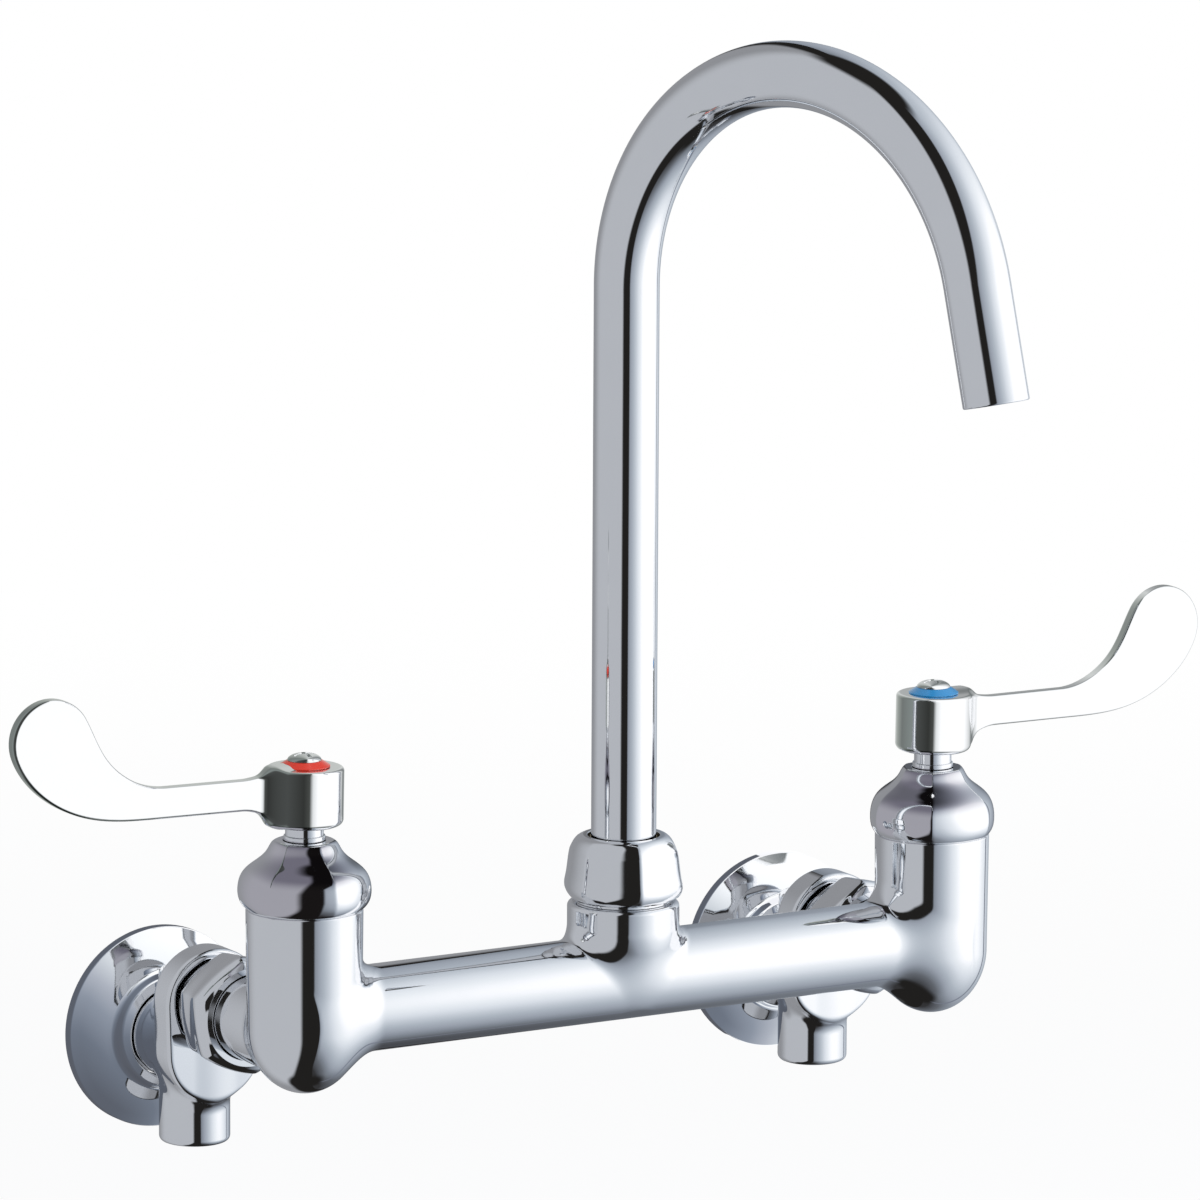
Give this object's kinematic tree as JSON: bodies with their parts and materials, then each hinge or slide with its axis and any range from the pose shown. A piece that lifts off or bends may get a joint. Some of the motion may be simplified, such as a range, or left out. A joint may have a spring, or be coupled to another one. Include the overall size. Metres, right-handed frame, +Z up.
{
  "type": "wall-mounted bridge faucet",
  "caption": "Wall-mounted bridge faucet in polished chrome with a swinging gooseneck spout, wrist-blade handles and offset supply arms on round wall flanges.",
  "frame": {"origin": "on the wall plane, midway between the two supply inlets", "axes": "+X along the bridge towards the cold side (the user's right), +Y into the wall, +Z up; the user stands on the -Y side"},
  "size_m": [0.3824, 0.2264, 0.3191],
  "materials": {
    "chrome": "polished plating",
    "screw_chrome": "bright plating",
    "brass": "machined",
    "rubber": "matt",
    "ceramic": "lapped alumina ceramic",
    "white_plastic": "low-friction acetal",
    "red_plastic": "gloss",
    "blue_plastic": "gloss"
  },
  "bodies": {
    "faucet": {"bridge_body": "chrome", "spout_nut": "chrome", "spout_washer": "white_plastic", "hot_bonnet": "chrome", "hot_stem_ring": "chrome", "hot_cartridge_body": "brass", "hot_fixed_disc": "ceramic", "hot_seat_seal": "rubber", "hot_supply_arm": "chrome", "hot_coupling_nut": "chrome", "hot_coupling_washer": "rubber", "hot_wall_flange": "chrome", "hot_stop_gland": "brass", "cold_bonnet": "chrome", "cold_stem_ring": "chrome", "cold_cartridge_body": "brass", "cold_fixed_disc": "ceramic", "cold_seat_seal": "rubber", "cold_supply_arm": "chrome", "cold_coupling_nut": "chrome", "cold_coupling_washer": "rubber", "cold_wall_flange": "chrome", "cold_stop_gland": "brass"},
    "spout": {"spout_tube": "chrome", "spout_bushing": "brass", "spout_o_rings": "rubber"},
    "hot_handle": {"hot_handle": "chrome", "hot_stem": "chrome", "hot_stem_o_ring": "rubber", "hot_moving_disc": "ceramic", "hot_index_ring": "red_plastic", "hot_handle_screw": "screw_chrome"},
    "hot_stop_washer": {"hot_stop_washer": "rubber"},
    "hot_stop_stem": {"hot_stop_stem": "brass", "hot_stop_o_ring": "rubber"},
    "cold_handle": {"cold_handle": "chrome", "cold_stem": "chrome", "cold_stem_o_ring": "rubber", "cold_moving_disc": "ceramic", "cold_index_ring": "blue_plastic", "cold_handle_screw": "screw_chrome"},
    "cold_stop_washer": {"cold_stop_washer": "rubber"},
    "cold_stop_stem": {"cold_stop_stem": "brass", "cold_stop_o_ring": "rubber"}
  },
  "joints": [
    {"name": "spout_swivel", "type": "hinge", "parent": "faucet", "child": "spout", "pos_m": [0, -0.087, 0.035], "axis": [0, 0, 1], "range_deg": [-136, 104]},
    {"name": "hot_handle_turn", "type": "hinge", "parent": "faucet", "child": "hot_handle", "pos_m": [-0.1016, -0.087, 0.06], "axis": [0, 0, 1], "range_deg": [0, 90]},
    {"name": "hot_stop_lift", "type": "slide", "parent": "faucet", "child": "hot_stop_washer", "axis": [0, 0, 1], "range_m": [0, 0.004]},
    {"name": "hot_stop_turn", "type": "hinge", "parent": "hot_stop_washer", "child": "hot_stop_stem", "pos_m": [-0.1016, -0.0233, -0.02], "axis": [0, 0, 1], "range_deg": [0, 960]},
    {"name": "cold_handle_turn", "type": "hinge", "parent": "faucet", "child": "cold_handle", "pos_m": [0.1016, -0.087, 0.06], "axis": [0, 0, -1], "range_deg": [0, 90]},
    {"name": "cold_stop_lift", "type": "slide", "parent": "faucet", "child": "cold_stop_washer", "axis": [0, 0, 1], "range_m": [0, 0.004]},
    {"name": "cold_stop_turn", "type": "hinge", "parent": "cold_stop_washer", "child": "cold_stop_stem", "pos_m": [0.1016, -0.0233, -0.02], "axis": [0, 0, 1], "range_deg": [0, 960]}
  ],
  "couplings": [
    {"joint": "hot_stop_turn", "follows": "hot_stop_lift", "rad_per_m": 4188.8},
    {"joint": "cold_stop_turn", "follows": "cold_stop_lift", "rad_per_m": 4188.8}
  ]
}
